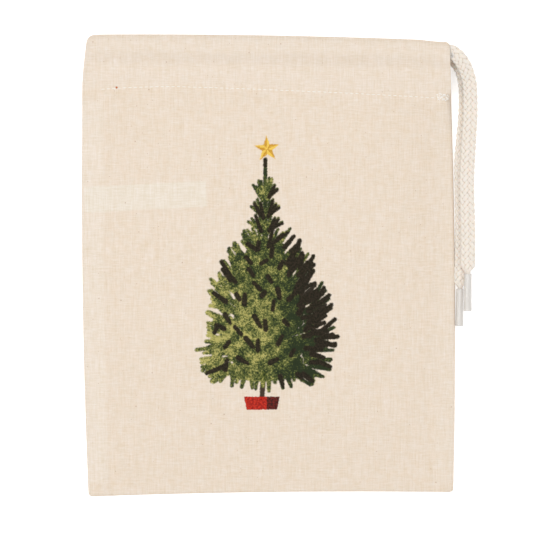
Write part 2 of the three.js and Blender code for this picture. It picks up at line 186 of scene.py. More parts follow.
def creases(x, y):
    """The soft unevenness of ironed cloth: a sum of slow waves, a third of a millimetre high."""
    wave = np.sin(x / 17.0 + 0.9 * np.sin(y / 29.0)) * np.cos(y / 23.0 - 0.5)
    wave = wave + 0.6 * np.sin(x / 7.3 - y / 41.0 + 2.0) * np.sin(y / 11.0 + 1.0)
    return 0.16 * wave + 0.05 * np.sin(x / 3.1 + y / 5.7) * np.sin(y / 4.3 - x / 9.0)


def pucker(x, y):
    """The groove that the stitches pull into the cloth, with a small wave at each stitch."""
    d = y - stitch_y(x)
    return -0.28 * np.exp(-((d / 1.2) ** 2)) + 0.06 * np.sin(x * 2.17) * np.exp(-((d / 4.5) ** 2))


def leaving(middle, height, d):
    """A height that leaves a middle height in a quarter circle, with the distance d from a sewn edge."""
    return lerp(middle, height, roll(d / (np.abs(height - middle) * 0.95 + 0.1)))


def front_top(x, y):
    over_hem = INNER * smooth((y - (top_edge(x) - HEM_DEPTH) + 7.0) / 9.0)
    return under_front(x, y) + over_hem + cord_ridge(x, y) + CLOTH + creases(x, y) + pucker(x, y)


def seam_middle(y, side):
    """The height of the edge where front and back meet. It climbs towards the channel."""
    if side < 0:
        return lerp(SEAM_MIDDLE, MOUTH_MIDDLE, smooth((y - 72.0) / 24.0))
    return lerp(SEAM_MIDDLE, 5.2, smooth((y - 60.0) / 28.0))


def slit(y, side):
    """1 where the right side is open, above the foot of the slit, and 0 where the sides are sewn."""
    return smooth((y - 88.5) / 8.0) if side > 0 else 0.0 * y


def under_hem(x, y, front):
    """The height of the hem's inner face, under the front or on top of the back."""
    return under_front(x, y) if front else INNER + CLOTH + cord_ridge(x, y)


# ---- Rows and columns of a panel ----
def steps(*spans):
    """Numbers that run through each (start, end, step) span in turn."""
    runs = [np.linspace(a, b, max(int(round(abs(b - a) / s)), 1), endpoint=False) for a, b, s in spans]
    return np.append(np.concatenate(runs), spans[-1][1])


def panel(side, columns, rows_y, front):
    """Half a panel's outer face as points (rows, columns, 3), with flat cloth coordinates and a row kind.

    Rows go up from the bottom fold, then turn through half an ellipse at the mouth, then go down the hem.
    The row kind is 0 on the outside, above 0 round the fold and 1 inside.
    """
    u = columns[None, :] / 100.0
    guess = side * HALF_WIDTH * (1.0 - u)
    crest = top_edge(guess) - FOLD_REACH
    share = (rows_y - rows_y[0]) / (rows_y[-1] - rows_y[0])
    y_up = lerp(bottom_edge(guess), crest, share[:, None])
    edge = side_at(y_up, side)
    x_up = edge * (1.0 - u)
    d = np.abs(edge - x_up)
    middle = seam_middle(y_up, side)
    if front:
        flat = front_top(x_up, y_up)
    else:
        flat = np.maximum(-pucker(x_up, y_up), 0.0)
    z_up = lerp(leaving(middle, flat, d), flat, slit(y_up, side))
    foot = roll((y_up - bottom_edge(x_up)) / 1.1)
    z_up = lerp(np.minimum(INNER, z_up) if front else np.full_like(z_up, INNER), z_up, foot)

    phi = np.linspace(0.0, 1.0, FOLD_ROWS + 1)[1:, None]
    y_fold = crest + FOLD_REACH * np.sin(np.pi * phi)
    top_x = side_at(np.minimum(y_fold, top_edge(guess)), side)
    ring = RING_X if side < 0 else right_edge(116.0) - 0.4
    edge = np.where(phi > 0.5, lerp(side_at(top_edge(guess), side), ring, smooth(2.0 * phi - 1.0)), top_x)
    x_fold = edge * (1.0 - u)
    from_z = front_top(x_fold, crest) if front else 0.0 * x_fold
    z_fold = lerp(from_z, under_hem(x_fold, crest, front), 0.5 - 0.5 * np.cos(np.pi * phi))
    if side < 0:
        z_fold = leaving(MOUTH_MIDDLE, z_fold, np.abs(edge - x_fold))

    down = np.linspace(0.0, 1.0, HEM_ROWS + 1)[1:, None]
    x_hem = ring * (1.0 - u) + 0.0 * down
    y_hem = crest - down * (HEM_DEPTH - FOLD_REACH)
    pulled = np.exp(-(((y_hem - stitch_y(x_hem)) / 1.5) ** 2))
    z_hem = under_hem(x_hem, y_hem, front) + (0.3 if front else -0.3) * pulled
    if side < 0:
        z_hem = leaving(MOUTH_MIDDLE, z_hem, np.abs(ring - x_hem))

    spans = (x_up, y_up, z_up), (x_fold, y_fold, z_fold), (x_hem, y_hem, z_hem)
    points = np.concatenate([joined(*span) for span in spans])
    cloth_y = np.concatenate([y_up, crest + FOLD_ARC * phi, crest + FOLD_ARC + (crest - y_hem)])
    kind = np.concatenate([0.0 * x_up, 0.0 * x_fold + phi, 0.0 * x_hem + 1.0])
    return points, joined(points[..., 0], cloth_y), kind


FRONT_ROWS = steps(
    (-124.5, -121.5, 0.4), (-121.5, -80.0, 1.6), (-80.0, 74.0, 0.6), (74.0, 104.0, 1.3), (104.0, 122.3, 0.7)
)
# Percent of the way from a side's edge to the middle, closer at the edge and under the print.
FRONT_COLUMNS = steps((0.0, 3.0, 0.4), (3.0, 58.0, 1.6), (58.0, 100.0, 0.6))
BACK_COLUMNS = steps((0.0, 3.0, 0.4), (3.0, 100.0, 2.2))
BACK_ROWS = steps((-124.5, -121.5, 0.4), (-121.5, 92.0, 2.5), (92.0, 100.0, 0.7), (100.0, 122.3, 1.2))


# ---- Meshes ----
def add_object(name, data):
    made = bpy.data.objects.new(name, data)
    bpy.context.scene.collection.objects.link(made)
    return made


def new_object(name, vertices, faces, uv=None, attributes=None):
    """An object at the origin from points in millimetres, shaded smooth."""
    mesh = bpy.data.meshes.new(name)
    mesh.from_pydata((np.asarray(vertices).reshape(-1, 3) * MM).tolist(), [], faces)
    mesh.polygons.foreach_set("use_smooth", np.ones(len(mesh.polygons), bool))
    corner = np.empty(len(mesh.loops), np.int32)
    mesh.loops.foreach_get("vertex_index", corner)
    if uv is not None:
        layer = mesh.uv_layers.new(name="cloth")
        at_corners = np.asarray(uv).reshape(-1, 2)[corner] / UV_MM
        layer.data.foreach_set("uv", at_corners.astype(np.float32).ravel())
    for key, values in (attributes or {}).items():
        layer = mesh.attributes.new(key, "FLOAT", "POINT")
        layer.data.foreach_set("value", np.asarray(values, np.float32).ravel())
    mesh.update()
    return add_object(name, mesh)


def grid_faces(rows, columns, wrap=False, flip=False):
    """Four-sided faces over a grid of points that are numbered row by row."""
    i, j = np.meshgrid(np.arange(rows - 1), np.arange(columns if wrap else columns - 1), indexing="ij")
    k = (j + 1) % columns
    quads = np.stack([i * columns + j, i * columns + k, (i + 1) * columns + k, (i + 1) * columns + j], -1)
    quads = quads.reshape(-1, 4)
    return (quads[:, ::-1] if flip else quads).tolist()


def sheet_object(name, points, uv, attributes, up, thickness, lined=False):
    """A grid of points as the upper (up) or lower face of a piece of cloth, with a wall behind it.

    A lined piece takes its second material on the wall's far side.
    """
    rows, columns = points.shape[:2]
    middle = points[rows // 4 : rows // 4 + 2, columns // 2 : columns // 2 + 2]
    normal = np.cross(middle[0, 1] - middle[0, 0], middle[1, 0] - middle[0, 0])
    faces = grid_faces(rows, columns, flip=(normal[2] > 0.0) != up)
    made = new_object(name, points, faces, uv, attributes)
    keep_edge_crisp(made, columns)
    wall = made.modifiers.new("wall", "SOLIDIFY")
    wall.thickness = thickness * MM
    wall.offset = -1.0
    wall.use_rim = True
    wall.material_offset = int(lined)
    return made


def keep_edge_crisp(made, columns):
    """Marks the last column's edges as sharp, so that the wall beside it doesn't turn the face's shading."""
    ends = np.empty(2 * len(made.data.edges), np.int32)
    made.data.edges.foreach_get("vertices", ends)
    made.data.attributes.new("sharp_edge", "BOOLEAN", "EDGE").data.foreach_set(
        "value", (ends.reshape(-1, 2) % columns == columns - 1).all(1)
    )


def frames_along(path, wide=None):
    """The width's direction and the thickness's direction at each point of a path."""
    along = normed(np.gradient(path, axis=0))
    side = normed(np.cross(UP, along)) if wide is None else np.broadcast_to(wide, path.shape)
    return side, np.cross(along, side)


def smooth_path(points, step):
    """A Catmull-Rom curve through the points, spaced evenly by about step."""
    p = np.array(points, float)
    p = np.concatenate([[2 * p[0] - p[1]], p, [2 * p[-1] - p[-2]]])
    t = np.linspace(0.0, 1.0, 41)[:-1, None]
    parts = []
    for a, b, c, d in zip(p[:-3], p[1:-2], p[2:-1], p[3:]):
        second, third = 2 * a - 5 * b + 4 * c - d, 3 * b - a - 3 * c + d
        parts.append(0.5 * (2 * b + (c - a) * t + second * t**2 + third * t**3))
    dense = np.concatenate([*parts, p[-2][None]])
    length = run_lengths(dense)
    at = np.linspace(0.0, length[-1], int(round(length[-1] / step)) + 1)
    return np.stack([np.interp(at, length, dense[:, k]) for k in range(3)], -1), at


def even_angles(width, thick, count):
    """Angles that cut an ellipse's edge into equal lengths."""
    a = np.linspace(0.0, 2.0 * np.pi, 721)
    run = run_lengths(joined(width / 2 * np.cos(a), thick / 2 * np.sin(a)))
    return np.interp(np.linspace(0.0, run[-1], count, endpoint=False), run, a)


def tube(name, path, width, thick, count, relief=0.0, wide=None, uv=None, attributes=None):
    """An oval tube along a path, pushed out by its relief, with flat ends.

    A ring is the path's point + width / 2 cos(a) side + thickness / 2 sin(a) top.
    """
    side, top = frames_along(path, wide)
    angle = even_angles(CORD_WIDTH, CORD_THICK, count)
    w = np.broadcast_to(width, len(path))[:, None]
    h = np.broadcast_to(thick, len(path))[:, None]
    ca, sa = np.cos(angle)[None, :], np.sin(angle)[None, :]
    nx, ny = ca / w, sa / h
    size = np.sqrt(nx**2 + ny**2)
    px, py = w / 2 * ca + relief * nx / size, h / 2 * sa + relief * ny / size
    points = path[:, None, :] + px[..., None] * side[:, None, :] + py[..., None] * top[:, None, :]
    rows, columns = points.shape[:2]
    first = np.arange(columns)
    ends = [first[::-1].tolist(), (first + (rows - 1) * columns).tolist()]
    return new_object(name, points, grid_faces(rows, columns, wrap=True) + ends, uv, attributes)


# ---- The printed tree: distances to strokes, worked out on the cloth's own points ----
def capsule_union(x, y, strokes):
    """How far inside the union of tapered strokes each point is. A stroke is x, y, x, y, radius, radius."""
    depth = np.full(x.shape, -3.0)
    for ax, ay, bx, by, ra, rb in strokes:
        reach = max(ra, rb) + 2.0
        near = (x > min(ax, bx) - reach) & (x < max(ax, bx) + reach)
        near &= (y > min(ay, by) - reach) & (y < max(ay, by) + reach)
        if not near.any():
            continue
        dx, dy = bx - ax, by - ay
        t = np.clip(((x[near] - ax) * dx + (y[near] - ay) * dy) / (dx * dx + dy * dy + 1e-9), 0.0, 1.0)
        away = np.hypot(x[near] - ax - t * dx, y[near] - ay - t * dy)
        depth[near] = np.maximum(depth[near], lerp(ra, rb, t) - away)
    return depth


def tree_width(y):
    """Half the width of the fir at a height, from the lowest boughs to the tip."""
    heights = [-64.0, -59.0, -54.0, -47.0, -36.0, -22.0, -8.0, 3.0, 12.0, 22.0, 34.0, 44.0]
    return np.interp(y, heights, [12.0, 26.0, 34.0, 38.0, 36.0, 32.5, 26.0, 19.0, 12.5, 9.2, 7.4, 5.0])


def leaning(x, y, lean, length, wide, narrow):
    """A stroke that runs from a point at an angle from +X."""
    return x, y, x + length * np.cos(lean), y + length * np.sin(lean), wide, narrow


def tree_strokes():
    """Leaf strokes and dark strokes of a fir of our own, drawn with a seeded generator."""
    draw = np.random.default_rng(41)
    pick = draw.uniform
    leaf, dark = [], []
    for level in np.arange(-56.5, 13.0, 3.4):
        half = tree_width(level)
        steep = lerp(-0.4, 0.98, smooth((level + 66.0) / 66.0))
        for side in (-1.0, 1.0):
            thick = lerp(1.1, 3.0, smooth(half / 24.0))
            mass = half * pick(0.42, 0.6)
            rise = level + 0.4 * mass * np.sin(steep)
            leaf.append((-1.0, level - 0.1 * half, side * mass, rise, thick, thick * 0.8))
            for _ in range(int(1.2 + half / 9.5)):
                lean = steep + draw.normal(0.0, 0.24)
                length = pick(8.0, 15.0) * lerp(0.42, 1.0, smooth(half / 34.0))
                tip = half * pick(0.74, 1.04)
                ax = side * max(tip - length * np.cos(lean), 0.25 * half)
                ay = level + draw.normal(0.0, 0.9)
                bx, by = ax + side * length * np.cos(lean), ay + length * np.sin(lean)
                leaf.append((ax, ay, bx, by, pick(1.35, 1.7), pick(0.8, 1.1)))
                shaded = (0.72 if level > -40.0 else 0.35) if side > 0 else 0.08
                if draw.random() < shaded:
                    t = pick(0.1, 0.5)
                    foot = lerp(ax, bx, t), lerp(ay, by, t)
                    dark.append((*foot, bx, by, pick(1.2, 1.6), pick(0.9, 1.2)))
    for _ in range(20):
        y = pick(-40.0, 4.0)
        x = pick(0.42, 0.78) * tree_width(y)
        lean, length = pick(0.6, 1.3), pick(4.0, 8.0)
        dark.append(leaning(x, y, lean, length, pick(1.2, 1.9), pick(0.9, 1.4)))
    for k in range(30):
        y = -56.0 + 68.0 * (k + draw.random()) / 30.0
        x = lerp(-0.84, 0.4, (k * 0.618 + 0.1) % 1.0) * tree_width(y)
        lean, length = draw.choice([-0.85, -1.1, 0.9, 1.5]) + draw.normal(0.0, 0.2), pick(2.2, 6.4)
        dark.append(leaning(x, y, lean, length, pick(1.15, 1.6), pick(0.95, 1.35)))
    for x in np.arange(-27.0, 25.0, 3.1):
        length, lean = pick(3.0, 8.5), x * 0.028 + draw.normal(0.0, 0.25)
        foot = -60.5 + 0.0045 * x * x
        tip_x, tip_y = x + length * np.sin(lean), foot - length * np.cos(lean)
        leaf.append((x, foot + 3.0, tip_x, tip_y + 1.5, 1.7, 1.0))
        if draw.random() < (0.4 if x > 4.0 else 0.15):
            dark.append((x, foot + 1.0, tip_x, tip_y + 2.5, 1.4, 1.0))
    leaf.append((-1.0, 12.0, -0.9, 57.0, 1.7, 1.0))
    for y, reach, tall in ((13.0, 11.5, 10.5), (20.5, 8.6, 9.0), (28.5, 7.0, 8.5), (38.0, 6.0, 10.0)):
        for side in (-1.0, 1.0):
            for k in range(4):
                share = 0.34 + 0.22 * k
                foot = (-1.0 + side * reach * share * 0.45, y - 2.6 + 0.9 * k)
                up = tall * pick(0.62, 1.0) * (1.1 - 0.18 * k)
                tip = (-1.0 + side * reach * share * 1.06, y + up)
                leaf.append((*foot, *tip, 1.35, 0.85))
                if (side > 0 and k > 1) or draw.random() < 0.2:
                    dark.append((*foot, tip[0], tip[1] - 0.8, 1.2, 0.9))
    dark.append((-0.9, 54.0, -0.9, 57.5, 1.15, 1.0))
    return leaf, dark


def star_arm(x, y):
    """The angle from the nearest arm's middle and the distance from the middle of a five-pointed star."""
    px, py = x + 0.8, y - 63.0
    turn = np.arctan2(px, py) + 0.06
    return np.mod(turn + np.pi / 5.0, 2.0 * np.pi / 5.0) - np.pi / 5.0, np.hypot(px, py)


def star_depth(x, y):
    """How far inside the star each point is. An arm's edge is a straight line from its tip to the notch."""
    arm, r = star_arm(x, y)
    tip, notch = 7.3, 2.9
    nx, ny = notch * np.sin(np.pi / 5.0), notch * np.cos(np.pi / 5.0)
    size = np.hypot(tip - ny, nx)
    along, across = r * np.cos(arm), r * np.abs(np.sin(arm))
    return ((tip - along) * nx - across * (tip - ny)) / size


def pot_depth(x, y):
    """How far inside a tapered pot each point is: the least distance to its four sides."""
    low, high = -77.4, -70.4
    half = lerp(8.2, 9.6, (y - low) / (high - low))
    return np.minimum(np.minimum(y - low, high - y), half - np.abs(x + 3.6))


def print_masks(x, y, kind):
    """The print's five masks at each point, none of them on the hem."""
    leaf, dark = tree_strokes()
    off = np.where(kind > 0.0, -3.0, 3.0)
    lean = x + 0.8
    glow = np.exp(-(((x + 9.0) / 17.0) ** 2) - ((y + 33.0) / 22.0) ** 2)
    away = smooth((np.abs(x + 4.0) - 12.0) / 20.0) * (x < -4.0)
    out = {
        "leaf": capsule_union(lean, y, leaf),
        "dark": capsule_union(lean, y, dark),
        "star": star_depth(x, y),
        "pot": pot_depth(x, y),
        "trunk": capsule_union(x, y, [(-3.6, -71.0, -2.6, -58.0, 1.3, 1.6)]),
        "facet": np.where(star_arm(x, y)[0] > 0.0, 1.0, -1.0),
        "lit": 0.9 * glow + 0.9 * away - 0.95 * smooth((x - 2.0) / 14.0) * smooth((8.0 - y) / 20.0) - 0.2,
    }
    return {key: np.minimum(np.clip(depth, -3.0, 3.0), off) for key, depth in out.items()}


def painted_show_through(x, y, kind):
    """Painted light: the cloth is painted paler where a second layer under it would send light back through
    it: the seam allowances (ply), the label (tag) and the channel's hem (casing).
    """
    on = (kind <= 0.0) * smooth((y + 119.0) / 4.0) * smooth((stitch_y(x) - 4.0 - y) / 4.0)
    left = smooth((left_edge(y) + 12.0 - x) / 1.4)
    right = 0.45 * smooth((x - right_edge(y) + 11.0) / 1.8)
    along = (x + 66.3) * np.cos(TAG_TURN) + (y - 37.3) * np.sin(TAG_TURN)
    across = (y - 37.3) * np.cos(TAG_TURN) - (x + 66.3) * np.sin(TAG_TURN)
    tag = smooth(33.5 - np.abs(along)) * smooth(7.4 - np.abs(across)) * (kind <= 0.0)
    casing = (kind <= 0.0) * smooth((y - stitch_y(x)) / 2.0)
    return {"ply": on * np.maximum(left, right), "tag": tag, "casing": casing}


# ---- Shader helpers ----
def wire(tree, value, socket):
    """Sets a socket to a number or colour, or links an output to it."""
    if isinstance(value, bpy.types.NodeSocket):
        tree.links.new(value, socket)
    else:
        socket.default_value = value


def new_node(tree, kind, inputs, **settings):
    """The outputs of a new node with these settings. Its inputs are given by name or by place."""
    made = tree.nodes.new(f"ShaderNode{kind}")
    for key, value in settings.items():
        setattr(made, key, value)
    for key, value in inputs.items():
        wire(tree, value, made.inputs[key])
    return made.outputs


def math_node(tree, operation, *values):
    return new_node(tree, "Math", dict(enumerate(values)), operation=operation)[0]


def add(tree, a, b):
    return math_node(tree, "ADD", a, b)


def times(tree, a, b):
    return math_node(tree, "MULTIPLY", a, b)


def about(tree, value, middle, gain):
    """How far a value is from a middle, times a gain."""
    return times(tree, math_node(tree, "SUBTRACT", value, middle), gain)


def mix_colour(tree, factor, a, b, blend="MIX"):
    return new_node(tree, "Mix", {"Factor": factor, 6: a, 7: b}, data_type="RGBA", blend_type=blend)[2]


def lay_over(tree, base, mask, share, colour):
    """A colour over a base, by a mask times a share."""
    return mix_colour(tree, times(tree, mask, share), base, colour)


def map_range(tree, value, low, high, to_low=0.0, to_high=1.0):
    inputs = dict(enumerate((value, low, high, to_low, to_high)))
    return new_node(tree, "MapRange", inputs, interpolation_type="SMOOTHSTEP")[0]


def ramp(tree, value, low, high, a, b):
    """The colour a where the value is below low, and b where it is above high."""
    return mix_colour(tree, map_range(tree, value, low, high), a, b)


def scaled(tree, vector, scale):
    return new_node(tree, "VectorMath", {0: vector, 1: scale}, operation="MULTIPLY")[0]


def noise(tree, vector, scale, detail=2.0, rough=0.5):
    inputs = {"Vector": vector, "Scale": scale, "Detail": detail, "Roughness": rough}
    return new_node(tree, "TexNoise", inputs)[0]


def attribute(tree, name):
    return new_node(tree, "Attribute", {}, attribute_name=name)["Fac"]


def split(tree, vector):
    return new_node(tree, "SeparateXYZ", {0: vector})


def object_vector(tree, scale):
    """A point's place in its object's own frame, times a scale for each axis."""
    return scaled(tree, new_node(tree, "TexCoord", {})["Object"], scale)


def new_group(name, inputs, outputs):
    """An empty node group that gives numbers. An input with no value is a vector."""
    group = bpy.data.node_groups.new(name, "ShaderNodeTree")
    for label, value in inputs.items():
        kind = "NodeSocketVector" if value is None else "NodeSocketFloat"
        socket = group.interface.new_socket(name=label, in_out="INPUT", socket_type=kind)
        if value is not None:
            socket.default_value = value
    for label in outputs:
        group.interface.new_socket(name=label, in_out="OUTPUT", socket_type="NodeSocketFloat")
    return group, group.nodes.new("NodeGroupInput").outputs, group.nodes.new("NodeGroupOutput").inputs


def use_group(tree, group, **values):
    return new_node(tree, "Group", values, node_tree=group)


def plain_weave():
    """Plain weave from a UV in cloth units: each cell shows the warp or the weft, and slubs run along both.

    Height is the sine hump of the thread on top. Shade varies about 1: the slubs' own tone, plus painted
    light that makes each thread's hump lighter and its foot darker. Fleck marks bits of husk.
    """
    group, given, out = new_group(
        "Plain weave", {"Vector": None, "Threads": 200.0, "Slub": 0.05}, ("Height", "Shade", "Fleck")
    )
    cloth = given["Vector"]
    shift = about(group, noise(group, cloth, 9.0), 0.5, 0.006)
    humps, cells = [], []
    for axis in split(group, cloth)[:2]:
        run = times(group, add(group, axis, shift), given["Threads"])
        wave = math_node(group, "SINE", times(group, run, np.pi))
        humps.append(math_node(group, "ABSOLUTE", wave))
        cells.append(math_node(group, "FLOOR", run))
    parity = math_node(group, "FLOORED_MODULO", add(group, *cells), 2.0)
    warp = times(group, humps[0], parity)
    weft = times(group, humps[1], math_node(group, "SUBTRACT", 1.0, parity))
    height = add(group, warp, weft)
    streaks = []
    for scale in ((200.0, 14.0, 1.0), (26.0, 200.0, 1.0), (105.0, 6.0, 1.0), (13.0, 105.0, 1.0)):
        streaks.append(noise(group, scaled(group, cloth, scale), 1.0, 2.0, 0.6))
    total = add(group, add(group, *streaks[:2]), add(group, *streaks[2:]))
    slub = math_node(group, "SUBTRACT", total, 2.0)
    shade = add(group, 1.0, times(group, slub, given["Slub"]))
    # Painted light: the top of each thread's hump is painted lighter and its foot darker, added to the slubs'
    # own tone.
    wire(group, add(group, shade, about(group, height, 0.6, 0.05)), out["Shade"])
    wire(group, add(group, height, times(group, slub, 1.1)), out["Height"])
    fleck = 0.0
    for scale, size, rarity in ((13.0, 0.065, 0.56), (5.0, 0.024, 0.7), (34.0, 0.11, 0.7)):
        cell = new_node(group, "TexVoronoi", {"Vector": cloth, "Scale": scale})
        spot = map_range(group, cell["Distance"], size, size * 0.4)
        picked = map_range(group, split(group, cell["Color"])[0], rarity, rarity + 0.08)
        fleck = math_node(group, "MAXIMUM", fleck, times(group, spot, picked))
    wire(group, fleck, out["Fleck"])
    return group


def twisted_fibre():
    """Fine fibres along a thread: noise over a stretched vector. Height, and Shade about 1."""
    group, given, out = new_group("Twisted fibre", {"Vector": None, "Amount": 0.08}, ("Height", "Shade"))
    fibre = noise(group, given["Vector"], 1.0, 3.0, 0.65)
    wire(group, fibre, out["Height"])
    wire(group, add(group, 1.0, about(group, fibre, 0.5, given["Amount"])), out["Shade"])
    return group


WEAVE = plain_weave()
FIBRE = twisted_fibre()


def new_material(name, **values):
    """A material with these values on its shader. An underscore in a socket's name stands for a space."""
    made = bpy.data.materials.new(name)
    made.use_nodes = True
    shader = made.node_tree.nodes["Principled BSDF"]
    for label, value in values.items():
        shader.inputs[label.replace("_", " ")].default_value = value
    return made, made.node_tree, shader


def uv_vector(tree):
    return new_node(tree, "UVMap", {}, uv_map="cloth")[0]


def add_bump(tree, shader, height, distance):
    bump = new_node(tree, "Bump", {"Distance": distance * MM, "Height": height})
    wire(tree, bump[0], shader.inputs["Normal"])


def rgb(red, green, blue):
    """A linear colour from its 0 to 255 display values."""
    c = np.array([red, green, blue]) / 255.0
    linear = np.where(c <= 0.04045, c / 12.92, ((c + 0.055) / 1.055) ** 2.4)
    return (*linear.tolist(), 1.0)


WARM_GAINS = (0.75, 1.0, 1.7)  # thick threads are yellower than thin ones
INK_COVER = 0.985  # share of the cloth's colour that full ink hides


def shade_colour(tree, colour, shade, gains):
    """A colour times a value near 1, whose distance from 1 has its own gain for red, green and blue."""
    tint = {k: add(tree, 1.0, about(tree, shade, 1.0, gain)) for k, gain in enumerate(gains)}
    return mix_colour(tree, 1.0, colour, new_node(tree, "CombineColor", tint)[0], "MULTIPLY")


def add_threads(tree, shader, colour, threads, bump, gains=(1.0, 1.0, 1.0)):
    """A colour in the shade of a thread group, and bumps from its height, in millimetres."""
    wire(tree, shade_colour(tree, colour, threads["Shade"], gains), shader.inputs["Base Color"])
    add_bump(tree, shader, threads["Height"], bump)


def calico(name, printed):
    """Unbleached plain weave with slubs and seed flecks. The printed cloth adds the fir in five inks."""
    made, tree, shader = new_material(name, Sheen_Weight=0.03, Sheen_Roughness=0.5, Specular_IOR_Level=0.1)
    uv = uv_vector(tree)
    weave = use_group(tree, WEAVE, Vector=uv, Threads=205.0, Slub=0.18)
    cloudy = noise(tree, uv, 21.0, 5.0, 0.8)
    base = ramp(tree, cloudy, 0.3, 0.7, rgb(236, 222, 206), rgb(234, 216, 195))
    if printed:
        # Painted light: paler where a second layer under the thin cloth would send light back through it.
        base = lay_over(tree, base, attribute(tree, "ply"), 0.34, rgb(242, 232, 219))
        base = lay_over(tree, base, attribute(tree, "tag"), 0.6, rgb(238, 229, 214))
        base = lay_over(tree, base, attribute(tree, "casing"), 0.16, rgb(238, 229, 220))
    base = lay_over(tree, base, weave["Fleck"], 0.5, rgb(174, 126, 78))
    if printed:
        base = mix_colour(tree, seed_mark(tree, uv, (-81.7, 96.0), 0.85), base, rgb(186, 98, 40))
        base = inks(tree, base, uv, weave["Height"])
    wire(tree, map_range(tree, weave["Height"], 0.0, 1.4, 0.97, 0.86), shader.inputs["Roughness"])
    add_threads(tree, shader, base, weave, 0.09, WARM_GAINS)
    return made


def seed_mark(tree, uv, place, radius):
    """A husk of cotton seed woven into the cloth: 1 within the radius of a place in millimetres."""
    middle = (place[0] / UV_MM, place[1] / UV_MM, 0.0)
    away = new_node(tree, "VectorMath", {0: uv, 1: middle}, operation="DISTANCE")["Value"]
    return map_range(tree, away, radius / UV_MM, 0.3 * radius / UV_MM)


def inks(tree, base, uv, height):
    """Pigment on the threads. Noise breaks each mask's edge and mottles the colours."""
    broken = about(tree, noise(tree, uv, 95.0, 3.0, 0.7), 0.5, 1.3)
    rough = add(tree, broken, about(tree, height, 0.6, 0.25))
    speck = noise(tree, uv, 88.0, 3.0, 0.9)
    patch = noise(tree, uv, 17.0, 3.0, 0.6)

    def mottled(low, high, dark, light):
        return ramp(tree, speck, low, high, rgb(*dark), rgb(*light))

    tone = add(tree, about(tree, speck, 0.5, 8.5), about(tree, patch, 0.5, 6.5))
    tone = add(tree, tone, attribute(tree, "lit"))
    green = ramp(tree, tone, -0.9, 0.25, rgb(32, 46, 22), rgb(88, 98, 46))
    green = ramp(tree, tone, 0.2, 1.6, green, rgb(184, 176, 102))
    gold = ramp(tree, attribute(tree, "facet"), -0.4, 0.4, rgb(206, 150, 44), rgb(240, 200, 84))
    gold = mix_colour(tree, map_range(tree, speck, 0.45, 0.75, 0.0, 0.5), gold, rgb(250, 222, 130))
    lit_red = mottled(0.4, 0.6, (142, 20, 14), (206, 48, 30))
    dark_red = mottled(0.42, 0.6, (48, 14, 10), (118, 30, 24))
    red = ramp(tree, split(tree, uv)[0], -0.011, -0.007, lit_red, dark_red)
    bark = mottled(0.4, 0.62, (34, 32, 22), (56, 47, 38))
    for name, soft, pigment in (
        ("trunk", 0.3, rgb(64, 50, 38)),
        ("leaf", 0.35, green),
        ("dark", 0.4, bark),
        ("star", 0.25, gold),
        ("pot", 0.2, red),
    ):
        cover = map_range(tree, add(tree, attribute(tree, name), rough), -soft, soft)
        base = lay_over(tree, base, cover, INK_COVER, pigment)
    return base


def thread_material():
    made, tree, shader = new_material("sewing thread", Roughness=0.6)
    along = object_vector(tree, (3000.0, 6000.0, 6000.0))
    fibre = use_group(tree, FIBRE, Vector=along, Amount=0.25)
    add_threads(tree, shader, rgb(246, 241, 234), fibre, 0.06)
    return made


def cord_material():
    """Braided cotton. The UV holds the two strand directions, and over says which one is on top."""
    made, tree, shader = new_material(
        "braided cotton",
        Roughness=0.85,
        Sheen_Weight=0.2,
        Specular_IOR_Level=0.25,
        Subsurface_Weight=0.45,
        Subsurface_Radius=(1.0, 0.85, 0.7),
        Subsurface_Scale=3.0 * MM,
    )
    axes = split(tree, uv_vector(tree))
    across = new_node(tree, "Mix", {"Factor": attribute(tree, "over"), 2: axes[1], 3: axes[0]})[0]
    along = add(tree, axes[0], axes[1])
    place = new_node(tree, "CombineXYZ", {0: times(tree, across, 900.0), 1: times(tree, along, 60.0)})
    fibre = use_group(tree, FIBRE, Vector=place[0], Amount=0.16)
    # Painted shade: the low places between the braid's strands are painted a darker tan.
    colour = ramp(tree, attribute(tree, "relief"), 0.0, 0.45, rgb(192, 172, 145), rgb(231, 223, 213))
    add_threads(tree, shader, colour, fibre, 0.12)
    return made


def film_material():
    made, tree, shader = new_material("clear sleeve", Transmission_Weight=0.25, IOR=1.3)
    streak = noise(tree, object_vector(tree, (1500.0, 90.0, 1500.0)), 1.0)
    milky = mix_colour(tree, streak, rgb(218, 212, 204), rgb(253, 250, 246))
    wire(tree, milky, shader.inputs["Base Color"])
    wire(tree, map_range(tree, streak, 0.2, 0.8, 0.12, 0.3), shader.inputs["Roughness"])
    add_bump(tree, shader, streak, 0.03)
    return made


def ribbon_material():
    made, tree, shader = new_material("woven ribbon", Roughness=0.55)
    weave = use_group(tree, WEAVE, Vector=uv_vector(tree), Threads=330.0, Slub=0.02)
    add_threads(tree, shader, rgb(238, 231, 218), weave, 0.05)
    return made


PRINTED = calico("printed calico", True)
PLAIN = calico("plain calico", False)
THREAD = thread_material()
CORD = cord_material()
FILM = film_material()
RIBBON = ribbon_material()


def dress(made, slot, *materials):
    for m in materials:
        made.data.materials.append(m)
    return made


def settle(made, body, *nodes):
    """Puts a piece on a body, in place of the solids it stands for."""
    if nodes:
        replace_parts(made, *nodes)
    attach(made, body)


# ---- Cloth ----
def bend_front(made):
    """Bakes the piece's transform into its mesh."""
    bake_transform(made)
    return made


def make_front(side, label):
    points, flat, kind = panel(side, FRONT_COLUMNS, FRONT_ROWS, True)
    x, y = points[..., 0], points[..., 1]
    masks = {**print_masks(x, y, kind), **painted_show_through(x, y, kind)}
    made = sheet_object(f"front_cloth_{label}", points, flat, masks, True, WALL, lined=True)
    return dress(made, "calico", PRINTED, PLAIN)


front_left = make_front(-1, "left")
front_right = make_front(1, "right")
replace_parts(front_left, "front_panel", "front_casing_hem")
bend_front(front_left)
bend_front(front_right)


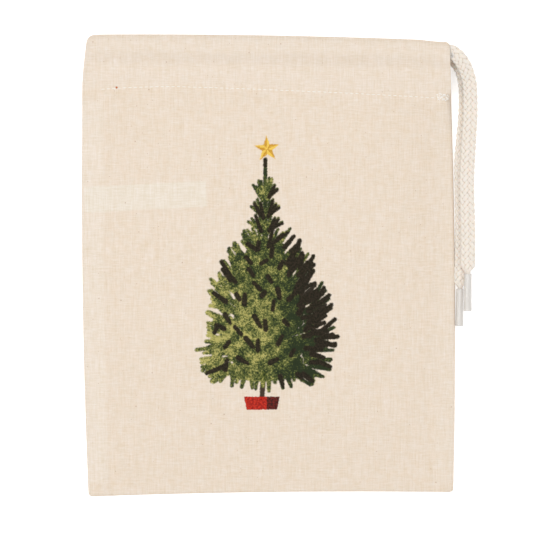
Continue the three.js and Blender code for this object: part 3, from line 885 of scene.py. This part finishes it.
def make_back():
    left, left_uv, _ = panel(-1, BACK_COLUMNS, BACK_ROWS, False)
    right, right_uv, _ = panel(1, BACK_COLUMNS, BACK_ROWS, False)
    points = np.concatenate([left, right[:, -2::-1]], 1)
    uv = np.concatenate([left_uv, right_uv[:, -2::-1]], 1)
    return dress(sheet_object("back_cloth", points, uv, None, False, WALL), "calico", PLAIN)


back = make_back()
settle(back, "pouch", "back_panel", "back_casing_hem", "casing_left_end")


# ---- Stitches ----
STITCH_PITCH = 2.9
TACK_STITCHES = 40


def bead_run(name, centres, directions, size, lift):
    """A small ellipsoid of a length, width and height for each stitch, laid along its direction.

    A point is the centre + a cos(v) along + b sin(v) cos(t) across + (c sin(v) sin(t) + lift) up.
    """
    v = np.linspace(0.0, np.pi, 7)[:, None]
    a = np.linspace(0.0, 2.0 * np.pi, 8, endpoint=False)[None, :]
    unit = joined(-np.cos(v), np.sin(v) * np.cos(a), np.sin(v) * np.sin(a))
    rows, columns = unit.shape[:2]
    unit = unit.reshape(-1, 3) * np.array(size) / 2.0
    along = normed(directions)
    across = normed(np.cross(UP, along))
    up = np.cross(along, across)
    points = centres[:, None, :] + unit[None, :, 0:1] * along[:, None] + unit[None, :, 1:2] * across[:, None]
    points = points + (unit[None, :, 2:3] + lift) * up[:, None]
    one = np.array(grid_faces(rows, columns, wrap=True))
    shift = np.arange(len(centres))[:, None, None] * (rows * columns)
    made = new_object(name, points, (one[None] + shift).reshape(-1, 4).tolist())
    made.modifiers.new("close ends", "WELD").merge_threshold = 0.00001
    return dress(made, "thread", THREAD)


def along_front(x):
    """Points on the front's face along the channel's stitching, and the direction there."""
    points, ahead = [joined(k, stitch_y(k), front_top(k, stitch_y(k))) for k in (x, x + 0.5)]
    return points, ahead - points


def front_stitches(label, low, high):
    centres, directions = along_front(np.arange(low, high, STITCH_PITCH))
    made = bead_run(f"front_stitches_{label}", centres, directions, (2.1, 0.42, 0.3), 0.06)
    return bend_front(made)


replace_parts(front_stitches("left", -89.0, -1.0), "front_casing_thread")
front_stitches("right", 1.3, 89.0)


def bar_tack(name, height_at):
    """Short stitches sewn to and fro over each other, in a cloud about the end of the channel's stitching."""
    draw = np.random.default_rng(5)
    x = np.linspace(90.6, 96.6, TACK_STITCHES)
    y = stitch_y(x) + 0.7 + draw.uniform(-1.7, 1.7, TACK_STITCHES)
    slant = draw.uniform(-1.4, 1.4, TACK_STITCHES)
    centres = joined(x, y, height_at(x, y))
    return bead_run(name, centres, joined(1.0, slant, 0.0), (1.3, 0.42, 0.45), 0.12)


def back_stitches(name, z, height, lift, *nodes):
    """The channel's row of stitches on one face of the back."""
    x = np.arange(-84.0, 89.0, STITCH_PITCH)
    centres = joined(x, stitch_y(x), z)
    made = bead_run(name, centres, joined(1.0, 0.0 * x, 0.0), (2.35, 0.55, height), lift)
    settle(made, "pouch", *nodes)


front_tack = bar_tack("front_tack", front_top)
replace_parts(front_tack, "front_bar_tack")
bend_front(front_tack)
back_stitches("back_stitches", INNER + CLOTH - 0.3, 0.42, 0.12, "back_casing_thread")
back_stitches("back_outer_stitches", 0.22, 0.34, 0.0)
back_tack = bar_tack("back_tack", lambda x, y: INNER + CLOTH)
settle(back_tack, "pouch", "back_bar_tack")


# ---- Seam allowances, with their rows of sewing and overlocking ----
ALLOWANCE_TOP = INNER + 2 * CLOTH


def allowance(side, label):
    """Two layers of cloth along a side, with a slight ripple at the cut edge."""
    low, high = bottom_edge(side * HALF_WIDTH) + 3.5, top_edge(side * HALF_WIDTH) - HEM_DEPTH - 2.0
    y = np.linspace(low, high, 150)[:, None]
    t = np.linspace(0.0, 1.0, 10)[None, :]
    x = side_at(y, side) - side * (1.6 + (SEAM_WIDTH - 1.0) * t)
    points = joined(x, y, ALLOWANCE_TOP + 0.12 * t * np.sin(y / 3.3) - 0.1)
    made = sheet_object(f"{label}_allowance", points, points[..., :2], None, True, 2 * WALL)
    dress(made, "calico", PLAIN)
    settle(made, "pouch", f"{label}_seam_allowance")
    return made


def seam_threads(side, label):
    """The seam's row of stitches, and an overlock thread that swings to and fro across the cut edge."""
    low, high = bottom_edge(side * HALF_WIDTH) + 5.0, top_edge(side * HALF_WIDTH) - HEM_DEPTH - 4.0
    t = np.arange(low, high, 0.25)
    phase = 2.0 * np.pi * t / 2.6
    x = side_at(t, side) - side * (SEAM_WIDTH - 1.0 + 1.5 * np.sin(phase))
    z = ALLOWANCE_TOP + 0.18 + 0.06 * np.cos(phase) + 0.12 * np.sin(t / 3.3)
    loops = dress(tube(f"{label}_overlock", joined(x, t, z), 0.35, 0.35, 6), "thread", THREAD)
    settle(loops, "pouch", f"{label}_overlock_thread")
    y = np.arange(low, high, 2.8)
    centres = joined(side_at(y, side) - side * 2.6, y, ALLOWANCE_TOP)
    along = joined(0.0 * y, 1.0, 0.0)
    sewn = bead_run(f"{label}_seam_stitches", centres, along, (2.3, 0.5, 0.4), 0.05)
    settle(sewn, "pouch", f"{label}_seam_thread")


allowances = [allowance(-1, "left"), allowance(1, "right")]
seam_threads(-1, "left")
seam_threads(1, "right")


# ---- Label ----
def make_label():
    """A ribbon that comes from the left seam down to the back."""
    along = np.linspace(0.0, TAG_SIZE[0], 90)[:, None]
    across = np.linspace(-TAG_SIZE[1] / 2, TAG_SIZE[1] / 2, 16)[None, :]
    x = -98.0 + along * np.cos(TAG_TURN) - across * np.sin(TAG_TURN)
    y = 35.8 + along * np.sin(TAG_TURN) + across * np.cos(TAG_TURN)
    z = lerp(2.75, 1.3, smooth((along - 10.0) / 26.0)) + 0.12 * np.sin(along / 6.0) * np.cos(across / 5.0)
    made = sheet_object("label", joined(x, y, z), joined(along, across), None, True, 0.3)
    dress(made, "label_ribbon", RIBBON)
    settle(made, "pouch", "woven_label")
    return made


label = make_label()

# ---- Cord ----
PRESSED = 0.9  # how much thinner the cord is where the channel holds it
NARROWED = 0.6  # how much narrower it is there
EASE = 8.0  # length in which a tail swells to its full size
SHOULDER = 4.2  # length in which it narrows to the aglet's bore
BORE_FILL = 2.5  # its diameter there, under the braid's relief
RUN_END = 95.6  # where the runs end, inside the slit
LEAD = ((95.2, 0.7), (96.4, 0.5))  # where a tail starts inside the channel: x, and how far it stands up
BRAID_STRANDS = 6
BRAID_TURN = 20.5  # length in which a strand goes once round
AGLET_PROFILE = (
    (1.72, 0.2), (1.95, 0.0), (2.0, 0.4), (1.97, 6.0), (2.0, 14.0),
    (2.12, 19.6), (2.06, 20.0), (1.8, 19.8), (1.7, 14.0), (1.7, 6.0),
)
# Each route is x, y and the share of the way down to the tail's height, below 0 where it climbs.
UPPER_ROUTE = (
    (97.8, 115.6, 0), (100.6, 113.7, 0.1), (103.4, 110.8, 0.34), (105.7, 107.0, 0.6), (107.3, 102.6, 0.8),
    (108.3, 98.2, 0.92), (108.65, 92.8, 1), (108.75, 86.4, 1), (108.7, 79.4, 1), (108.15, 70.4, 1),
    (107.65, 60.4, 1), (107, 47.4, 1), (107.15, 34.4, 1), (107.5, 21.4, 1), (107.55, 8.4, 1),
    (107.47, -3.93, 1),
)
LOWER_ROUTE = (
    (97.8, 114.5, 0), (100, 112.5, -0.8), (102, 109.8, -1.7), (103.9, 106.8, -1.8), (105.3, 103.2, -1.1),
    (106.2, 99, -0.3), (106.6, 94, 0.6), (106.6, 88, 1), (106.4, 82, 1), (105.8, 74.4, 1), (105, 66.4, 1),
    (104.3, 57.4, 1), (104.3, 48.4, 1), (104.55, 36.4, 1), (104.7, 21.4, 1), (104.4, 6.4, 1),
    (103.95, -2.5, 1), (103.5, -8.5, 1), (103.43, -12.03, 1),
)


def braid(at, count):
    """The relief of a braid over (length, edge): two families of strands, each two over and two under.

    a = n (p + s / L) and b = n (p - s / L), for the share p of the way round. Their whole parts i and j name
    the strands, and (i + j) mod 4 says which one is on top. Each float is half an ellipse across.
    """
    p = np.arange(count)[None, :] / count
    s = at[:, None] / BRAID_TURN
    a, b = BRAID_STRANDS * (p + s), BRAID_STRANDS * (p - s)
    i, j = np.floor(a), np.floor(b)
    over = (i + j) % 4 < 2
    across = np.abs(2 * np.where(over, a - i, b - j) - 1)
    along = np.abs(np.where(over, (b + i) % 4, (a + j) % 4 - 2) - 1)
    height = np.sqrt(np.clip(1 - across**2, 0, 1)) * np.clip(1 - along**4, 0, 1) ** 0.7
    return height, over.astype(float), joined(a, b) * 1.5


def cord_piece(name, points, wide=None, squeeze_from=None, step=0.3, count=72):
    """A braided oval cord along a curve, as the channel holds it.

    With squeeze_from it is a tail: it swells to its full size first, and from there on it fills the aglet.
    """
    path, at = smooth_path(points, step)
    held = 1.0 - smooth(at / EASE) if squeeze_from else 1.0 + 0.0 * at
    narrow = smooth((at - squeeze_from + SHOULDER) / SHOULDER) if squeeze_from else 0.0 * at
    width = lerp(CORD_WIDTH - 0.6 - NARROWED * held, BORE_FILL, narrow)
    thick = lerp(CORD_THICK - 0.8 - PRESSED * held, BORE_FILL, narrow)
    height, over, strands = braid(at, count)
    depth = lerp(0.6 - 0.3 * held, 0.12, narrow)[:, None]
    looks = {"over": over, "relief": height}
    made = tube(name, path, width, thick, count, height * depth, wide, strands, looks)
    return dress(made, "cord_cotton", CORD), path, at


def tail(name, route, from_z, to_z, body, node):
    """A free end of the cord: out of the slit, round, and down beside the pouch into its aglet."""
    points = [(x, y, lerp(from_z, to_z, down)) for x, y, down in route]
    end = np.array(points[-1])
    way = normed(end - np.array(points[-2]))
    lead = [(x, cord_y(x), from_z + lift) for x, lift in LEAD]
    inside = [tuple(end + way * d) for d in (6.0, 13.0, AGLET_LENGTH - 0.6)]
    free = run_lengths(lead + points)[-1]
    made, path, at = cord_piece(name, lead + points + inside, squeeze_from=free)
    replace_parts(made, node)
    sleeve = make_aglet(f"{body}_aglet", end, way)
    settle(sleeve, body, node.replace("cord_", "").replace("tail", "aglet"))
    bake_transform(made)


def make_aglet(name, end, way):
    """A clear sleeve: a profile of radius and length turned about the cord, with a lap along one side."""
    r, s = np.array(AGLET_PROFILE).T
    a = np.linspace(0.0, 2.0 * np.pi, 48, endpoint=False)
    lap = 0.1 * smooth((a - 1.2) / 0.12) * (1.0 - smooth((a - 1.2) / 3.4))
    radius = r[:, None] + (r > 1.9)[:, None] * lap[None, :]
    side = np.cross(UP, way)
    up = np.cross(way, side)
    turned = np.cos(a)[None, :, None] * side + np.sin(a)[None, :, None] * up
    points = end + (s[:, None, None] + 0.3) * way + radius[..., None] * turned
    rows, columns = points.shape[:2]
    faces = np.array(grid_faces(rows + 1, columns, wrap=True)) % (rows * columns)
    return dress(new_object(name, points, faces.tolist()), "aglet_film", FILM)


tail("upper_tail", UPPER_ROUTE, FRONT_CORD_Z, UPPER_TAIL_Z, "tail_upper", "cord_upper_tail")
tail("lower_tail", LOWER_ROUTE, BACK_CORD_Z, LOWER_TAIL_Z, "tail_lower", "cord_lower_tail")

# The left turn starts here, so that its bow stays clear of the channel's left end.
TURN_X = -97.4 + CLOTH + 3.5 * CLEARANCE + TURN_RADIUS + CORD_THICK / 2


def make_runs():
    """The cord inside the channel: the back run, the left turn and the two halves of the front run."""

    def straight(name, xs, z):
        return cord_piece(name, [(x, cord_y(x), z) for x in xs], step=0.6, count=48)[0]

    run = straight("back_run", (RUN_END, 90, 86, 40, 0, -40, TURN_X), BACK_CORD_Z)
    settle(run, "cord", "cord_back_run")
    bow = []
    for k in np.radians(np.linspace(-90.0, 90.0, 9)):
        z = BACK_CORD_Z + (1 + np.sin(k)) * TURN_RADIUS
        bow.append((TURN_X - 0.2 - np.cos(k) * TURN_RADIUS, cord_y(TURN_X), z))
    turn, _, _ = cord_piece("left_turn", bow, wide=(0, 1, 0), step=0.4, count=48)
    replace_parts(turn, "cord_left_turn")
    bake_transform(turn)
    left = straight("front_run_left", (TURN_X, -60, -30, 0), FRONT_CORD_Z)
    right = straight("front_run_right", (0, 30, 60, 86, 90, RUN_END), FRONT_CORD_Z)
    for half, edge in ((left, -HALF_WIDTH), (right, HALF_WIDTH)):
        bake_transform(half)
    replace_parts(left, "cord_front_run")


make_runs()


# ---- Stage ----
LENS_MM = 300.0
SENSOR_MM = 36.0
FRAME_WIDTH = 0.2873


def make_stage():
    """A white table that glows a little, a pale sky and two soft lamps overhead."""
    bpy.ops.mesh.primitive_plane_add(size=8.0, location=(0.0, 0.0, -0.0004))
    floor = bpy.context.object
    floor.name = "floor"
    white = (1.0, 1.0, 1.0, 1.0)
    made, _, _ = new_material(
        "pale floor",
        Roughness=0.9,
        Base_Color=(0.9, 0.9, 0.9, 1.0),
        Emission_Color=white,
        Emission_Strength=0.4,
        Specular_IOR_Level=0.1,
    )
    floor.data.materials.append(made)
    world = bpy.data.worlds.new("studio")
    bpy.context.scene.world = world
    world.use_nodes = True
    sky = world.node_tree.nodes["Background"]
    sky.inputs["Color"].default_value = white
    sky.inputs["Strength"].default_value = 0.575
    for name, place, size, power in (
        ("key", (-0.45, 0.1, 1.5), 0.6, 9.0),
        ("fill", (0.5, 0.1, 1.5), 1.6, 7.5),
    ):
        lamp = bpy.data.lights.new(name, "AREA")
        lamp.shape = "DISK"
        lamp.size = size
        lamp.energy = power
        holder = add_object(name, lamp)
        holder.location = place
        holder.rotation_mode = "QUATERNION"
        holder.rotation_quaternion = (-Vector(place)).to_track_quat("-Z", "Y")


def make_camera():
    """A long lens that looks straight down, far enough off to see FRAME_WIDTH at the pouch's mid height."""
    lens = bpy.data.cameras.new("camera")
    lens.lens = LENS_MM
    lens.sensor_width = SENSOR_MM
    lens.clip_start = 0.1
    lens.clip_end = 20.0
    holder = add_object("camera", lens)
    holder.location = (-0.00108, -0.00027, 0.006 + FRAME_WIDTH * LENS_MM / SENSOR_MM)
    bpy.context.scene.camera = holder


make_stage()
make_camera()
bpy.context.scene.view_settings.view_transform = "Standard"

bpy.context.view_layer.update()
